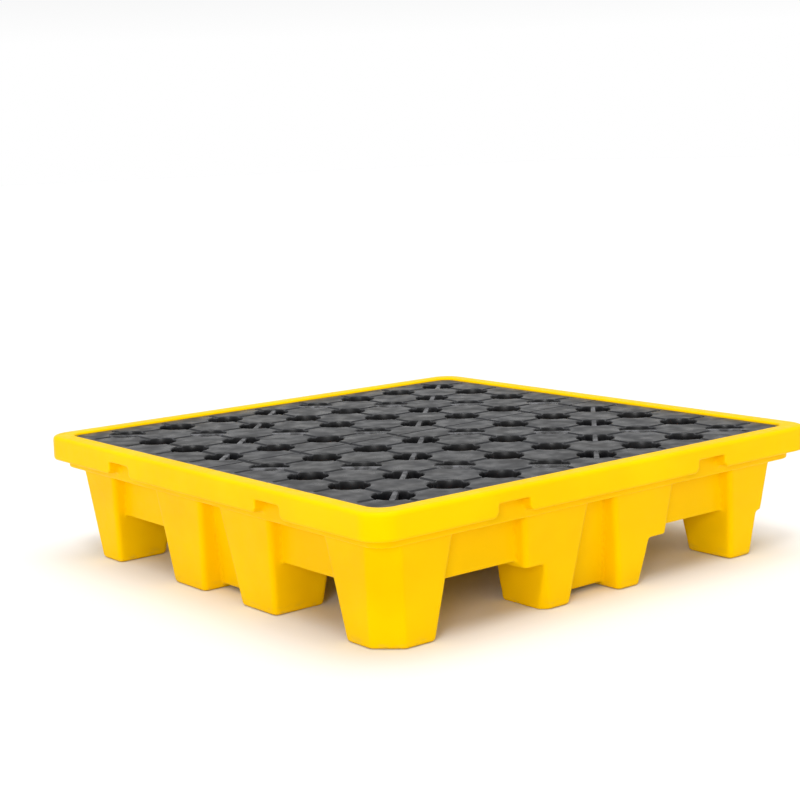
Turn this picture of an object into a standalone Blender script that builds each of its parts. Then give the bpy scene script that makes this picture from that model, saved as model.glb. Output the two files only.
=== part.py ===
"""Spill containment pallet for four drums, in metres, +Z up.

A one-piece moulded sump tub with hollow feet carries two lift-out grating panels. Nine loose
support posts stand in the sump, plugged over studs, and hold the gratings up in mid span.
The origin is on the floor under the middle of the pallet. -Y is the fork entry side.
"""

import math

import bmesh
import bpy
from mathutils import Matrix

# Driving dimensions
SIDE = 1.300
HEIGHT = 0.300
WALL = 0.007
TOUCH_GAP = 0.0003

# Rim and the ledge under it
RIM_WIDTH = 0.045
RIM_RADIUS = 0.057
SKIRT_HEIGHT = 0.058
RIM_EDGE_ROUND = 0.008
LEDGE_INSET = 0.0304
LEDGE_Z = 0.2215
NOTCH_NEAR = 0.253
NOTCH_FAR = 0.339
NOTCH_HEIGHT = 0.030

# Recessed wall between the feet, and the fork channels under the sump floor
WALL_INSET_TOP = 0.0805
WALL_INSET_BOTTOM = 0.087
CHANNEL_Z = 0.117

# Feet: near and far side of a foot, measured from the middle of the pallet, at LEDGE_Z and on the floor
FOOT_SPANS = {1: ((0.0357, 0.2283), (0.0734, 0.2020)), 2: ((0.4130, 0.6006), (0.4450, 0.5753))}
FOOT_EDGE_ROUND = 0.011
FOOT_BOTTOM_ROUND = 0.005
FOOT_CORNER_CUT = 0.050
FOOT_TOP_Z = 0.235
WELL_TOP_Z = 0.240
STEP_Z = 0.104
STEP_FAR_TOP = 0.158
STEP_FAR_BOTTOM = 0.151
STEP_FACET = 0.018
CORNER_STEP_TOP = 0.7844
CORNER_STEP_BOTTOM = 0.7676

# Webs that join the middle feet, and the slanting face of the recess between them on each side
WEB_RECESS = 0.032
WEB_HALF_LENGTH = 0.100
WEB_Z = 0.0105
RECESS_FACE_TOP = 0.5695
RECESS_FACE_FLOOR = 0.525

# Gratings
SEAT_Z = 0.255
PANEL_TOP_Z = 0.295
PANEL_CLEARANCE = 0.002
SEAM_HALF_GAP = 0.0015
DECK_THICKNESS = 0.008
HOLE_PITCH = 0.142
HOLE_RADIUS = 0.044
HOLE_COLUMNS = 8
HOLE_ROWS = 4
FRAME_THICKNESS = 0.008
RIB_THICKNESS = 0.006
BRACE_THICKNESS = 0.012
BRACE_DROP = 0.002

# Support posts
POST_RADIUS = 0.030
POST_WALL = 0.004
POST_CAP_RADIUS = 0.036
POST_CAP_HEIGHT = 0.006
STUD_HEIGHT = 0.012

HALF = SIDE / 2
SKIRT_Z = HEIGHT - SKIRT_HEIGHT
LEDGE_HALF = HALF - LEDGE_INSET
SEAT_RADIUS = RIM_RADIUS - RIM_WIDTH / 2
LEDGE_RADIUS = RIM_RADIUS - LEDGE_INSET / 2
SEAT_HALF = HALF - RIM_WIDTH
FLOOR_Z = CHANNEL_Z + WALL
PANEL_FAR = SEAT_HALF - PANEL_CLEARANCE
PANEL_WIDTH = PANEL_FAR - SEAM_HALF_GAP
PANEL_MIDDLE_Y = (PANEL_FAR + SEAM_HALF_GAP) / 2
POST_X = 2 * HOLE_PITCH
MARGIN = 0.010
OVERLAP = 0.001

PARTS = "spill_containment_pallet"
CUTTERS = "cutters"


def clear_scene():
    for item in list(bpy.data.objects):
        bpy.data.objects.remove(item, do_unlink=True)


def make_collection(name):
    collection = bpy.data.collections.new(name)
    bpy.context.scene.collection.children.link(collection)
    return collection


def make_material(name, colour, roughness):
    material = bpy.data.materials.new(name)
    material.use_nodes = True
    shader = material.node_tree.nodes["Principled BSDF"]
    shader.inputs["Base Color"].default_value = (*colour, 1.0)
    shader.inputs["Roughness"].default_value = roughness
    shader.inputs["Metallic"].default_value = 0.0
    material.diffuse_color = (*colour, 1.0)
    return material


def link_object(name, mesh, collection, material=None):
    item = bpy.data.objects.new(name, mesh)
    if material:
        mesh.materials.append(material)
    collection.objects.link(item)
    return item


def centred(half_x, half_y=None):
    """The rectangle x0, y0, x1, y1 about the middle of the pallet."""
    half_y = half_x if half_y is None else half_y
    return (-half_x, -half_y, half_x, half_y)


def is_upright(edge):
    return abs(edge.verts[0].co.z - edge.verts[1].co.z) > MARGIN


def round_edges(shape, edges, radius, segments):
    bmesh.ops.bevel(
        shape,
        geom=edges,
        offset=radius,
        offset_type="OFFSET",
        segments=segments,
        profile=0.5,
        affect="EDGES",
    )


def edges_at(shape, level):
    return [edge for edge in shape.edges if all(abs(v.co.z - level) < TOUCH_GAP for v in edge.verts)]


def tapered_block(target, low, high, z_low, z_high, radius=0.0, segments=3, corners=(), bottom=0.0, top=0.0):
    """Adds to target a box with rectangle low at z_low and rectangle high at z_high.

    Its upright edges are rounded to radius, except the corners (sign_x, sign_y, radius, segments):
    one segment makes a flat. The edges of its underside and top are rounded to bottom and top.
    """
    shape = bmesh.new()
    bmesh.ops.create_cube(shape, size=2.0)
    for vertex in shape.verts:
        x0, y0, x1, y1 = low if vertex.co.z < 0 else high
        level = z_low if vertex.co.z < 0 else z_high
        vertex.co = (x0 if vertex.co.x < 0 else x1, y0 if vertex.co.y < 0 else y1, level)
    for sign_x, sign_y, size, count in corners:
        edges = sorted(filter(is_upright, shape.edges), key=lambda e: outwardness(e, sign_x, sign_y))
        round_edges(shape, edges[-1:], size, count)
    if radius:
        square = [e for e in shape.edges if is_upright(e) and e.calc_face_angle() > math.radians(60)]
        round_edges(shape, square, radius, segments)
    if bottom:
        round_edges(shape, edges_at(shape, z_low), bottom, 1)
    if top:
        round_edges(shape, edges_at(shape, z_high), top, 2)
    piece = bpy.data.meshes.new("block")
    shape.to_mesh(piece)
    shape.free()
    target.from_mesh(piece)
    bpy.data.meshes.remove(piece)


def turn_about_z(shape, start, angle):
    """Turns the vertices from number start onwards about the middle of the shape."""
    shape.verts.ensure_lookup_table()
    turn = Matrix.Rotation(angle, 3, "Z")
    bmesh.ops.rotate(shape, verts=shape.verts[start:], cent=(0, 0, 0), matrix=turn)


def outwardness(edge, sign_x, sign_y):
    middle = (edge.verts[0].co + edge.verts[1].co) / 2
    return sign_x * middle.x + sign_y * middle.y


def finish_mesh(name, shape):
    mesh = bpy.data.meshes.new(name)
    shape.to_mesh(mesh)
    shape.free()
    return mesh


def make_cutter(name, shape, collection):
    """A guide solid for a Boolean: not drawn, and not a part."""
    item = link_object(name, finish_mesh(name, shape), collection)
    item.hide_render = True
    item.display_type = "WIRE"
    return item


def combine(item, operation, other):
    modifier = item.modifiers.new(f"{operation.lower()}_{other.name}", "BOOLEAN")
    modifier.operation = operation
    modifier.solver = "EXACT"
    modifier.object = other


def at_height(pair, z):
    """One of a pair of values, given at LEDGE_Z and on the floor, at the height z."""
    top, floor = pair
    return floor + (top - floor) * z / LEDGE_Z


def foot_span(index, z, inset):
    """Low and high coordinate of a foot at height z, shrunk by inset; index is -2, -1, 1 or 2."""
    tops, floors = FOOT_SPANS[abs(index)]
    near = at_height((tops[0], floors[0]), z) + inset
    far = at_height((tops[1], floors[1]), z) - inset
    return (near, far) if index > 0 else (-far, -near)


def foot_rectangle(index_x, index_y, z, inset):
    x0, x1 = foot_span(index_x, z, inset)
    y0, y1 = foot_span(index_y, z, inset)
    return (x0, y0, x1, y1)


def feet(inset, z_low, z_high):
    """All sixteen feet, or with inset the sixteen hollows in them."""
    shape = bmesh.new()
    bottom = FOOT_BOTTOM_ROUND - inset / 2
    for index_x in (-2, -1, 1, 2):
        for index_y in (-2, -1, 1, 2):
            low = foot_rectangle(index_x, index_y, z_low, inset)
            high = foot_rectangle(index_x, index_y, z_high, inset)
            is_corner = abs(index_x * index_y) == 4
            corners = [(index_x, index_y, FOOT_CORNER_CUT - inset / 2, 1)] if is_corner else []
            radius = FOOT_EDGE_ROUND - inset
            tapered_block(shape, low, high, z_low, z_high, radius, corners=corners, bottom=bottom)
    return shape


def recess_face(z):
    """How far out the slanting face between the two middle feet of a side lies at the height z."""
    return at_height((RECESS_FACE_TOP, RECESS_FACE_FLOOR), z)


def recess_fronts(inset, z_low, z_high):
    """The space in front of the four slanting faces, just wider than the gap between the feet."""
    shape = bmesh.new()
    for turn in range(4):
        corners = []
        for z in (z_low, z_high):
            half_width = foot_span(1, z, inset + OVERLAP)[0]
            corners.append((recess_face(z) - inset, -half_width, HALF, half_width))
        start = len(shape.verts)
        tapered_block(shape, corners[0], corners[1], z_low, z_high)
        turn_about_z(shape, start, turn * math.pi / 2)
    return shape


def web_rectangles(z, inset):
    """The five webs at height z: one in the middle of each side, and one under the centre."""
    near = foot_span(2, z, WEB_RECESS + inset)[0]
    far = recess_face(z) - inset
    centre = foot_span(1, z, WEB_RECESS + inset)[1]
    length = WEB_HALF_LENGTH
    return [
        centred(centre),
        (-length, near, length, far),
        (-length, -far, length, -near),
        (near, -length, far, length),
        (-far, -length, -near, length),
    ]


def webs(inset, z_low, z_high):
    shape = bmesh.new()
    for low, high in zip(web_rectangles(z_low, inset), web_rectangles(z_high, inset)):
        tapered_block(shape, low, high, z_low, z_high)
    return shape


def step_cuts(inset):
    """What the feet lose below the step: the pocket side of the middle feet on the fork entry
    sides, and the outer corner of the two corner feet at +X.
    """
    shape = bmesh.new()
    for sign_x in (-1, 1):
        for sign_y in (-1, 1):
            corners = []
            for near in (STEP_FAR_BOTTOM - inset, STEP_FAR_TOP - inset):
                xs = sorted((sign_x * near, sign_x * (FOOT_SPANS[1][0][1] + 4 * MARGIN)))
                ys = sorted((sign_y * (FOOT_SPANS[2][0][0] - MARGIN), sign_y * LEDGE_HALF))
                corners.append((xs[0], ys[0], xs[1], ys[1]))
            tapered_block(shape, corners[0], corners[1], -MARGIN, STEP_Z + inset)
    for sign_y in (-1, 1):
        start = len(shape.verts)
        width = 2 * FOOT_CORNER_CUT
        low = (CORNER_STEP_BOTTOM - inset, -width, SIDE, width)
        high = (CORNER_STEP_TOP - inset, -width, SIDE, width)
        tapered_block(shape, low, high, -MARGIN, STEP_Z + inset)
        turn_about_z(shape, start, sign_y * math.pi / 4)
    return shape


def step_facets(inset):
    """The corner that the step leaves on a middle foot: cut back at the floor, whole at the step."""
    shape = bmesh.new()
    foot_floor = FOOT_SPANS[2][1][1]
    floor_corner = (STEP_FAR_BOTTOM + foot_floor - STEP_FACET) / math.sqrt(2)
    step_corner = (STEP_FAR_TOP + foot_span(2, STEP_Z, 0.0)[1]) / math.sqrt(2)
    below_corner = floor_corner - (step_corner - floor_corner) * MARGIN / STEP_Z
    for sign_x in (-1, 1):
        for sign_y in (-1, 1):
            start = len(shape.verts)
            middle = sign_x * sign_y * (foot_floor - STEP_FAR_BOTTOM) / math.sqrt(2)
            low = (below_corner - inset, middle - STEP_FACET, HALF, middle + STEP_FACET)
            high = (step_corner - inset, middle - STEP_FACET, HALF, middle + STEP_FACET)
            tapered_block(shape, low, high, -MARGIN, STEP_Z)
            turn_about_z(shape, start, math.atan2(sign_y, sign_x))
    return shape


def notches():
    """Two openings in the lower edge of the skirt on each side."""
    shape = bmesh.new()
    deep = LEDGE_HALF - MARGIN
    proud = HALF + MARGIN
    z_low = SKIRT_Z - MARGIN
    z_high = SKIRT_Z + NOTCH_HEIGHT
    for turn in (-1, 1):
        for sign in (-1, 1):
            along = sorted((sign * NOTCH_NEAR, sign * NOTCH_FAR))
            across = sorted((turn * deep, turn * proud))
            for box in ((along[0], across[0], along[1], across[1]), (across[0], along[0], across[1], along[1])):
                tapered_block(shape, box, box, z_low, z_high)
    return shape


def post_places():
    """Middle of each support post, and the height of the floor that it stands on."""
    places = []
    for y in (-PANEL_MIDDLE_Y, 0.0, PANEL_MIDDLE_Y):
        for x in (-POST_X, 0.0, POST_X):
            floor = WEB_Z + WALL if x == 0.0 and y == 0.0 else FLOOR_Z
            places.append((x, y, floor))
    return places


def studs():
    shape = bmesh.new()
    radius = POST_RADIUS - POST_WALL - 2 * TOUCH_GAP
    for x, y, floor in post_places():
        bottom = floor - WALL / 2
        height = floor + STUD_HEIGHT - bottom
        made = bmesh.ops.create_cone(
            shape, cap_ends=True, segments=16, radius1=radius, radius2=radius - 0.002, depth=height
        )
        bmesh.ops.translate(shape, verts=made["verts"], vec=(x, y, bottom + height / 2))
    return shape


def one_block(low, high, z_low, z_high, radius=0.0, segments=5, **options):
    shape = bmesh.new()
    tapered_block(shape, low, high, z_low, z_high, radius, segments, **options)
    return shape


def make_tub(parts, cutters, material):
    rim = one_block(centred(HALF), centred(HALF), SKIRT_Z, HEIGHT, RIM_RADIUS, top=RIM_EDGE_ROUND)
    tub = link_object("sump_tub", finish_mesh("sump_tub", rim), parts, material)
    ledge = one_block(centred(LEDGE_HALF), centred(LEDGE_HALF), LEDGE_Z, HEIGHT - MARGIN, LEDGE_RADIUS)
    wall_low = HALF - WALL_INSET_BOTTOM
    wall_high = HALF - WALL_INSET_TOP
    walls = one_block(centred(wall_low), centred(wall_high), CHANNEL_Z, LEDGE_Z + MARGIN, LEDGE_RADIUS)
    seat = one_block(centred(SEAT_HALF), centred(SEAT_HALF), SEAT_Z, HEIGHT + MARGIN, SEAT_RADIUS)
    inner_low = centred(wall_low - WALL)
    inner_high = centred(wall_high - WALL)
    sump = one_block(inner_low, inner_high, FLOOR_Z, SEAT_Z + MARGIN, LEDGE_RADIUS - WALL)
    behind_ledge = centred(LEDGE_HALF - WALL)
    hollow = one_block(behind_ledge, behind_ledge, LEDGE_Z + WALL, SEAT_Z - WALL, LEDGE_RADIUS - WALL)
    fronts = recess_fronts(0.0, 0.0, LEDGE_Z + OVERLAP)
    behind_fronts = recess_fronts(WALL, 0.0, LEDGE_Z + WALL)
    steps = [
        ("DIFFERENCE", "notches", notches()),
        ("UNION", "ledge", ledge),
        ("UNION", "walls", walls),
        ("UNION", "feet", feet(0.0, 0.0, FOOT_TOP_Z)),
        ("UNION", "webs", webs(0.0, WEB_Z, FOOT_TOP_Z)),
        ("DIFFERENCE", "steps", step_cuts(0.0)),
        ("DIFFERENCE", "step_facets", step_facets(0.0)),
        ("DIFFERENCE", "seat", seat),
        ("DIFFERENCE", "sump", sump),
        ("DIFFERENCE", "ledge_hollow", hollow),
        ("DIFFERENCE", "wells", feet(WALL, WALL, WELL_TOP_Z)),
        ("DIFFERENCE", "web_wells", webs(WALL, WEB_Z + WALL, WELL_TOP_Z)),
        ("UNION", "studs", studs()),
    ]
    made = {}
    for operation, name, shape in steps:
        made[name] = make_cutter(name, shape, cutters)
        combine(tub, operation, made[name])
    combine(made["walls"], "DIFFERENCE", make_cutter("recess_fronts", fronts, cutters))
    combine(made["sump"], "DIFFERENCE", make_cutter("recess_walls", behind_fronts, cutters))
    combine(made["wells"], "DIFFERENCE", make_cutter("well_steps", step_cuts(WALL), cutters))
    combine(made["wells"], "DIFFERENCE", make_cutter("well_facets", step_facets(WALL), cutters))
    return tub


def panel_outline(half_x, half_y, side, radius, z_low, z_high):
    """A panel-shaped plate: its two corners at the rim follow the rim, the two at the seam are tight."""
    outline = centred(half_x, half_y)
    corners = [(sign, side, radius, 5) for sign in (-1, 1)]
    return one_block(outline, outline, z_low, z_high, corners=corners)


def panel_holes():
    """One drain opening; two Array modifiers repeat it over the panel."""
    shape = bmesh.new()
    bmesh.ops.create_cone(
        shape, cap_ends=True, segments=16, radius1=HOLE_RADIUS, radius2=HOLE_RADIUS, depth=4 * MARGIN
    )
    first_x = -HOLE_PITCH * (HOLE_COLUMNS - 1) / 2
    first_y = -HOLE_PITCH * (HOLE_ROWS - 1) / 2
    bmesh.ops.translate(shape, verts=shape.verts, vec=(first_x, first_y, PANEL_TOP_Z))
    return shape


def repeat(item, count, step_x, step_y):
    array = item.modifiers.new("array", "ARRAY")
    array.count = count
    array.use_relative_offset = False
    array.use_constant_offset = True
    array.constant_offset_displace = (step_x, step_y, 0.0)
    array.merge_threshold = 0.0001


def bar(shape, middle, half_length, half_width, z_low, z_high, angle=0.0):
    start = len(shape.verts)
    tapered_block(shape, centred(half_length, half_width), centred(half_length, half_width), z_low, z_high)
    turn_about_z(shape, start, angle)
    shape.verts.ensure_lookup_table()
    bmesh.ops.translate(shape, verts=shape.verts[start:], vec=(*middle, 0.0))


def straight_ribs(half_x, half_y, along_x):
    """Ribs under the deck midway between the rows (along X) or between the columns (along Y)."""
    shape = bmesh.new()
    count = HOLE_ROWS if along_x else HOLE_COLUMNS
    deck = PANEL_TOP_Z - DECK_THICKNESS / 2
    depth = SEAT_Z + TOUCH_GAP + (0.0005 if along_x else 0.001)
    for index in range(1, count):
        offset = HOLE_PITCH * (index - count / 2)
        middle = (0.0, offset) if along_x else (offset, 0.0)
        length = (half_x if along_x else half_y) - FRAME_THICKNESS / 2
        bar(shape, middle, length, RIB_THICKNESS / 2, depth, deck, 0.0 if along_x else math.pi / 2)
    return shape


def braces(slope):
    """Diagonal ribs across each half of the panel; their tops show in the openings that they cross."""
    shape = bmesh.new()
    length = HOLE_PITCH * HOLE_ROWS / 2 * math.sqrt(2) - RIB_THICKNESS
    depth = SEAT_Z + TOUCH_GAP + 0.0015 + 0.0005 * slope
    for side in (-1, 1):
        middle = (side * HOLE_PITCH * HOLE_COLUMNS / 4, 0.0)
        bar(shape, middle, length, BRACE_THICKNESS / 2, depth, PANEL_TOP_Z - BRACE_DROP, slope * math.pi / 4)
    return shape


def make_panel(name, side, parts, cutters, material):
    """One grating panel, built about its own middle; side is -1 at the front and 1 at the rear."""
    half_x = PANEL_FAR
    half_y = PANEL_WIDTH / 2
    inner_x = half_x - FRAME_THICKNESS
    inner_y = half_y - FRAME_THICKNESS
    depth = SEAT_Z + TOUCH_GAP
    radius = SEAT_RADIUS - PANEL_CLEARANCE
    outside = panel_outline(half_x, half_y, side, radius, depth, PANEL_TOP_Z)
    deck_z = PANEL_TOP_Z - DECK_THICKNESS
    inside = panel_outline(inner_x, inner_y, side, radius - FRAME_THICKNESS, depth - MARGIN, deck_z)
    panel = link_object(name, finish_mesh(name, outside), parts, material)
    holes = make_cutter(f"{name}_holes", panel_holes(), cutters)
    repeat(holes, HOLE_COLUMNS, HOLE_PITCH, 0.0)
    repeat(holes, HOLE_ROWS, 0.0, HOLE_PITCH)
    steps = [
        ("DIFFERENCE", make_cutter(f"{name}_underside", inside, cutters)),
        ("DIFFERENCE", holes),
        ("UNION", make_cutter(f"{name}_row_ribs", straight_ribs(half_x, half_y, True), cutters)),
        ("UNION", make_cutter(f"{name}_column_ribs", straight_ribs(half_x, half_y, False), cutters)),
        ("UNION", make_cutter(f"{name}_braces_left", braces(-1), cutters)),
        ("UNION", make_cutter(f"{name}_braces_right", braces(1), cutters)),
    ]
    for operation, other in steps:
        other.parent = panel
        combine(panel, operation, other)
    panel.location = (0.0, side * PANEL_MIDDLE_Y, 0.0)
    return panel


def make_post(name, place, parts, material):
    """A round post, closed by its cap and open below, where it plugs over its stud."""
    x, y, floor = place
    bottom = floor + TOUCH_GAP
    top = SEAT_Z
    inner = POST_RADIUS - POST_WALL
    profile = [
        (0.0, top),
        (POST_CAP_RADIUS, top),
        (POST_CAP_RADIUS, top - POST_CAP_HEIGHT),
        (POST_RADIUS, top - POST_CAP_HEIGHT - 0.004),
        (POST_RADIUS, bottom),
        (inner, bottom),
        (inner, top - POST_CAP_HEIGHT),
        (0.0, top - POST_CAP_HEIGHT),
    ]
    mesh = bpy.data.meshes.new(name)
    points = [(radius, 0.0, z) for radius, z in profile]
    mesh.from_pydata(points, [(i, i + 1) for i in range(len(points) - 1)], [])
    post = link_object(name, mesh, parts, material)
    screw = post.modifiers.new("turned", "SCREW")
    screw.axis = "Z"
    screw.angle = math.tau
    screw.steps = 16
    screw.render_steps = 16
    screw.use_merge_vertices = True
    screw.merge_threshold = 0.0001
    post.location = (x, y, 0.0)
    return post


def main():
    clear_scene()
    parts = make_collection(PARTS)
    cutters = make_collection(CUTTERS)
    yellow = make_material("yellow_polyethylene", (0.95, 0.60, 0.004), 0.42)
    black = make_material("black_grating", (0.030, 0.031, 0.034), 0.55)
    grey = make_material("grey_post", (0.055, 0.057, 0.060), 0.50)
    make_tub(parts, cutters, yellow)
    make_panel("grating_panel_front", -1, parts, cutters, black)
    make_panel("grating_panel_rear", 1, parts, cutters, black)
    for number, place in enumerate(post_places(), 1):
        make_post(f"support_post_{number}", place, parts, grey)


main()
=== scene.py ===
"""Visual model of a spill containment pallet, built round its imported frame, in metres, +Z up."""

import math

import bmesh
import bpy
import numpy as np
from mathutils import Matrix, Vector


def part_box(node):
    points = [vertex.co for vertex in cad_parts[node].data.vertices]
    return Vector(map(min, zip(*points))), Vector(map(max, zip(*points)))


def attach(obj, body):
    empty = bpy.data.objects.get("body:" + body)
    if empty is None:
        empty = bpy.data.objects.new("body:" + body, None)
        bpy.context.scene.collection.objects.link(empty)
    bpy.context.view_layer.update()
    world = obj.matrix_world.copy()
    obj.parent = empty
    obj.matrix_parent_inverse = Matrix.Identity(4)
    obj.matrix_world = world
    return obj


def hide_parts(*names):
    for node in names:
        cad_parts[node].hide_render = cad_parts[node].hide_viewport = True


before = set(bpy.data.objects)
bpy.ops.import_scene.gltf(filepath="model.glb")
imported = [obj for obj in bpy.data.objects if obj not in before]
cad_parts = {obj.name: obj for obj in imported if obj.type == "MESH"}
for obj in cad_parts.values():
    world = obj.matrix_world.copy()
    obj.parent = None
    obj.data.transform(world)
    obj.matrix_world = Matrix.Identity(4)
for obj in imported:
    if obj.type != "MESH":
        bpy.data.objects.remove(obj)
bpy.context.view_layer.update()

# ---------------------------------------------------------------- dimensions
TUB_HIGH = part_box("sump_tub")[1]
HALF = TUB_HIGH.x
HEIGHT = TUB_HIGH.z
WALL = 0.007
MARGIN = 0.010
OVERLAP = 0.001
LEVEL_TOLERANCE = 0.0003
SQUARE_ANGLE = math.radians(60)

# Rim and the ledge under it
RIM_WIDTH = 0.045
RIM_RADIUS = 0.057
SKIRT_Z = 0.242
RIM_EDGE_ROUND = 0.009
SKIRT_EDGE_ROUND = 0.004
LEDGE_INSET = 0.0304
LEDGE_Z = 0.2215
LEDGE_HALF = HALF - LEDGE_INSET
LEDGE_RADIUS = RIM_RADIUS - LEDGE_INSET / 2
NOTCH_NEAR = 0.253
NOTCH_FAR = 0.339
NOTCH_HEIGHT = 0.030
NOTCH_FLARE = 0.010

# Recessed wall between the feet, and the fork channels under the sump floor
WALL_INSET_TOP = 0.0805
WALL_INSET_BOTTOM = 0.087
CHANNEL_Z = 0.117
FLOOR_Z = CHANNEL_Z + WALL

# Feet: near and far side of a foot, measured from the middle of the pallet, at LEDGE_Z and on the floor
FOOT_SPANS = {1: ((0.0357, 0.2283), (0.0734, 0.2020)), 2: ((0.4130, 0.6006), (0.4450, 0.5753))}
FOOT_EDGE_ROUND = 0.011
FOOT_BOTTOM_ROUND = 0.005
FOOT_CORNER_CUT = 0.050
FOOT_TOP_Z = 0.235
WELL_TOP_Z = 0.240
STEP_Z = 0.104
STEP_FAR_TOP = 0.158
STEP_FAR_BOTTOM = 0.151
STEP_FACET = 0.018
CORNER_STEP_TOP = 0.7844
CORNER_STEP_BOTTOM = 0.7676

# Webs that join the middle feet, and the slanting face of the recess between them on each side
WEB_RECESS = 0.032
WEB_HALF_LENGTH = 0.100
WEB_Z = 0.0105
RECESS_FACE_TOP = 0.5695
RECESS_FACE_FLOOR = 0.525

# Seat of the gratings, and the studs under the posts
SEAT_Z = 0.255
SEAT_HALF = HALF - RIM_WIDTH
SEAT_RADIUS = RIM_RADIUS - RIM_WIDTH / 2
STUD_RADIUS = 0.024
STUD_HEIGHT = 0.012
STUD_TAPER = 0.002

# Gratings
PANEL_LOW, PANEL_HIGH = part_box("grating_panel_rear")
PANEL_FAR = PANEL_HIGH.x
PANEL_TOP_Z = PANEL_HIGH.z
PANEL_BOTTOM_Z = PANEL_LOW.z
SEAM_HALF_GAP = PANEL_LOW.y
PANEL_MIDDLE_Y = (PANEL_FAR + SEAM_HALF_GAP) / 2
PANEL_CLEARANCE = 0.002
HOLE_PITCH = 0.142
HOLE_RADIUS = 0.044
HOLE_COLUMNS = 8
HOLE_ROWS = 4
HOLE_X = [HOLE_PITCH * (i - (HOLE_COLUMNS - 1) / 2) for i in range(HOLE_COLUMNS)]
HOLE_Y = [PANEL_MIDDLE_Y + HOLE_PITCH * (i - (HOLE_ROWS - 1) / 2) for i in range(HOLE_ROWS)]
POST_X = 2 * HOLE_PITCH
CELL_SEAM_Y = HOLE_Y[0] - HOLE_PITCH / 2
CORNER_CENTRE = PANEL_FAR - (SEAT_RADIUS - PANEL_CLEARANCE)
CORNER_RADIUS = PANEL_FAR - CORNER_CENTRE
DECK_THICKNESS = 0.008
DECK_UNDERSIDE = PANEL_TOP_Z - DECK_THICKNESS
COLLAR_DEPTH = 0.030
COLLAR_THICKNESS = 0.003
FRAME_THICKNESS = 0.008
RIB_THICKNESS = 0.006
RIB_OVERLAP = 0.003
RIB_SETBACK = 0.004
BRACE_HALF = 0.006
BRACE_DROP = 0.0022
BAR_EDGE_ROUND = 0.0015
BRACE_EDGE_ROUND = 0.0025
PANEL_EDGE_ROUND = 0.002

# Shallow channels between the holes, and the small pits at their ends
CHANNEL_HALF = 0.006
CHANNEL_DEPTH = 0.0026
CHANNEL_SOFTNESS = 0.0015
CHANNEL_RUN_IN = 0.001
CHANNEL_RUN_OUT = 0.002
PIT_PLACE = SEAT_HALF - 0.023
PIT_DEPTH = 0.0065
PIT_FLOOR_RADIUS = 0.0030
PIT_RADIUS = 0.0048

# Where the deck's mesh has points: beside a channel, across a pit, and in from the panel's rounded edge
SIDE_STEPS = (0.0022, 0.0038, 0.0050, 0.0062, 0.0078, 0.010, 0.016, 0.026, 0.038, 0.050)
STRAIGHT_STEP = SIDE_STEPS[5]
STEP_ROOM = 0.004
PIT_STEPS = (-0.0048, -0.0036, -0.0024, 0.0, 0.0024, 0.0036, 0.0048)
EDGE_STEPS = (0.0, 0.0006, 0.0013, PANEL_EDGE_ROUND)
ARC_STEPS = 12
RING_SHARES = (1.0, 0.66, 0.33, 0.10)

# Profiles of a hole's lip and of the collar under it: distance out from the hole's wall, and depth
LIP_WIDTH = 0.0035
LIP_RADIUS = HOLE_RADIUS + LIP_WIDTH
LIP_PROFILE = ((LIP_WIDTH, 0.0), (0.0018, 0.0003), (0.0006, 0.0011), (0.0, 0.0026))
COLLAR_PROFILE = (
    (0.0, COLLAR_DEPTH - 0.001),
    (0.0005, COLLAR_DEPTH),
    (COLLAR_THICKNESS - 0.0005, COLLAR_DEPTH),
    (COLLAR_THICKNESS, COLLAR_DEPTH - 0.001),
    (COLLAR_THICKNESS, DECK_THICKNESS),
)

# Support posts
POST_WALL = 0.004
POST_CAP_OVERHANG = 0.006
POST_CAP_THICKNESS = 0.006
POST_SIDES = 48

# How finely the tub is remeshed, and how far its edges are relaxed
VOXEL = 0.0032
EDGE_ROUNDS = 5
FOOT_ROUNDS = 5
RELAX_FACTOR = 0.5
WEIGHT_STEPS = 10
FADE_BELOW_LEDGE = 0.008
FADE_ABOVE_LEDGE = 0.002
TUB_TRIANGLES = 240000

# Edges of the gratings and posts that are sharper than this stay sharp in the shading
SMOOTH_ANGLE = math.radians(50)

# Studio: each light's azimuth, elevation, spread (degrees) and strength
LIGHTS = {
    "overhead": (0.0, 85.0, 50.0, 1.7),
    "key": (-50.0, 58.0, 16.0, 0.9),
    "fill": (-50.0, 19.0, 20.0, 0.9),
}
FLOOR_SIZE = 40.0
FLOOR_DROP = 0.0005
SKY_FADE = (0.06, 0.30)
ZENITH_STRENGTH = 0.45

# Camera: place, then azimuth, elevation and roll in degrees
CAMERA_PLACE = (-2.495, -3.022, 0.986)
CAMERA_ANGLES = (-38.9, 8.91, -1.86)
CAMERA_LENS = 75.1
SENSOR_WIDTH = 36.0


# ---------------------------------------------------------------- helpers
def link_object(name, mesh, material=None):
    item = bpy.data.objects.new(name, mesh)
    if material:
        mesh.materials.append(material)
    bpy.context.scene.collection.objects.link(item)
    return item


def mesh_from(name, shape):
    mesh = bpy.data.meshes.new(name)
    shape.to_mesh(mesh)
    shape.free()
    return mesh


def remove_object(item):
    mesh = item.data
    bpy.data.objects.remove(item)
    bpy.data.meshes.remove(mesh)


def bake_modifiers(item):
    """Replaces the object's mesh by its evaluated mesh, and clears its modifiers."""
    depsgraph = bpy.context.evaluated_depsgraph_get()
    made = bpy.data.meshes.new_from_object(item.evaluated_get(depsgraph))
    old = item.data
    item.modifiers.clear()
    item.data = made
    bpy.data.meshes.remove(old)


def centred(half_x, half_y=None):
    half_y = half_x if half_y is None else half_y
    return (-half_x, -half_y, half_x, half_y)


def is_upright(edge):
    return abs(edge.verts[0].co.z - edge.verts[1].co.z) > MARGIN


def round_edges(shape, edges, radius, segments):
    bmesh.ops.bevel(
        shape,
        geom=edges,
        offset=radius,
        offset_type="OFFSET",
        segments=segments,
        profile=0.5,
        affect="EDGES",
    )


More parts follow.
